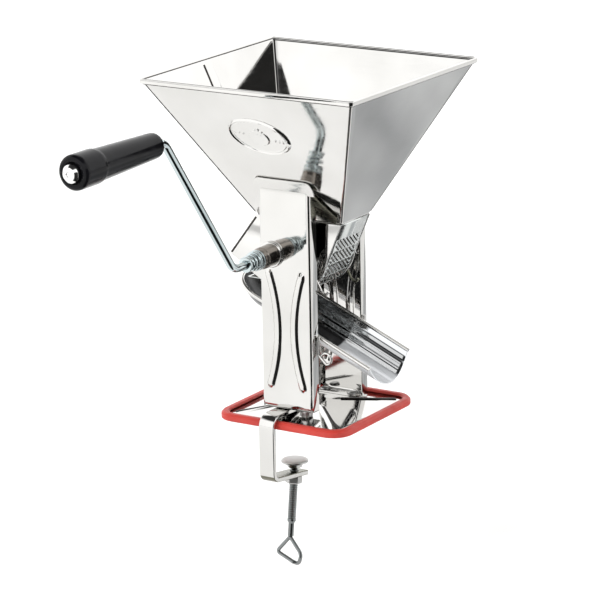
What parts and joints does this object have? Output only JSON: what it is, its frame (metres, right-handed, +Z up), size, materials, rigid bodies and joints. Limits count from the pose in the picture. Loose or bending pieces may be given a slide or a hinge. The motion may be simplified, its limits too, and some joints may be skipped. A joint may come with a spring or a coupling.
{
  "type": "hand-cranked tomato strainer",
  "caption": "Polished steel hand-cranked tomato strainer with square hopper, paddle roller, slotted screen, juice gutter and screw clamp for a table edge.",
  "frame": {"origin": "centre of the base on the table top, level with the flat underside of the rubber seal", "axes": "+X towards the outlet of the juice gutter, -Y towards the crank and the clamp, +Z up"},
  "size_m": [0.195, 0.3892, 0.4059],
  "materials": {
    "polished_steel": "bright polished stainless steel sheet",
    "screen_steel": "slotted stainless steel sheet, satin",
    "chromed_rod": "bright chrome plate",
    "hub_steel": "turned steel, warm grey",
    "dull_zinc": "dull zinc plate",
    "red_rubber": "moulded red rubber, satin",
    "black_plastic": "moulded black plastic, high gloss",
    "white_plastic": "food-grade white plastic, satin"
  },
  "bodies": {
    "stand": {"base_plate": "polished_steel", "edge_seal": "red_rubber", "front_post": "polished_steel", "rear_post": "polished_steel", "strap_rivet": "dull_zinc", "spacer_rivet": "dull_zinc", "foot_spacer": "dull_zinc", "rear_rivet_left": "dull_zinc", "rear_rivet_right": "dull_zinc", "hopper": "polished_steel", "front_cheek": "polished_steel", "rear_cheek": "polished_steel", "strainer_screen": "screen_steel", "peel_apron": "polished_steel", "screen_clip_front": "chromed_rod", "screen_clip_rear": "chromed_rod", "front_hub": "hub_steel", "rear_bearing": "hub_steel", "juice_gutter": "polished_steel", "gutter_hook_front": "chromed_rod", "gutter_hook_rear": "chromed_rod", "clamp_bracket": "polished_steel", "clamp_nut": "dull_zinc"},
    "crank": {"crank_rod": "chromed_rod", "roller_core": "white_plastic", "paddle_1": "white_plastic", "paddle_2": "white_plastic", "paddle_3": "white_plastic", "paddle_4": "white_plastic", "roller_pin": "chromed_rod", "hub_washer": "chromed_rod", "crank_spring": "chromed_rod", "spring_collar": "chromed_rod", "rear_clip": "chromed_rod", "grip_cap": "dull_zinc"},
    "grip": {"grip": "black_plastic"},
    "pad": {"pressure_pad": "dull_zinc"},
    "screw": {"clamp_screw": "chromed_rod", "wire_loop": "chromed_rod"}
  },
  "joints": [
    {"name": "crank_spin", "type": "hinge", "parent": "stand", "child": "crank", "pos_m": [-0.012, 0, 0.14], "axis": [0, 1, 0], "continuous": true},
    {"name": "grip_spin", "type": "hinge", "parent": "crank", "child": "grip", "pos_m": [-0.02402, -0.234, 0.25437], "axis": [0, 1, 0], "continuous": true},
    {"name": "clamp_feed", "type": "slide", "parent": "stand", "child": "pad", "axis": [0, 0.1392, 0.9903], "range_m": [-0.0015, 0.03]},
    {"name": "screw_turn", "type": "hinge", "parent": "pad", "child": "screw", "pos_m": [-0.0065, -0.025, -0.04541], "axis": [0, 0.1392, 0.9903], "range_deg": [-361, 7201]}
  ],
  "couplings": [
    {"joint": "screw_turn", "follows": "clamp_feed", "rad_per_m": 4188.8}
  ]
}
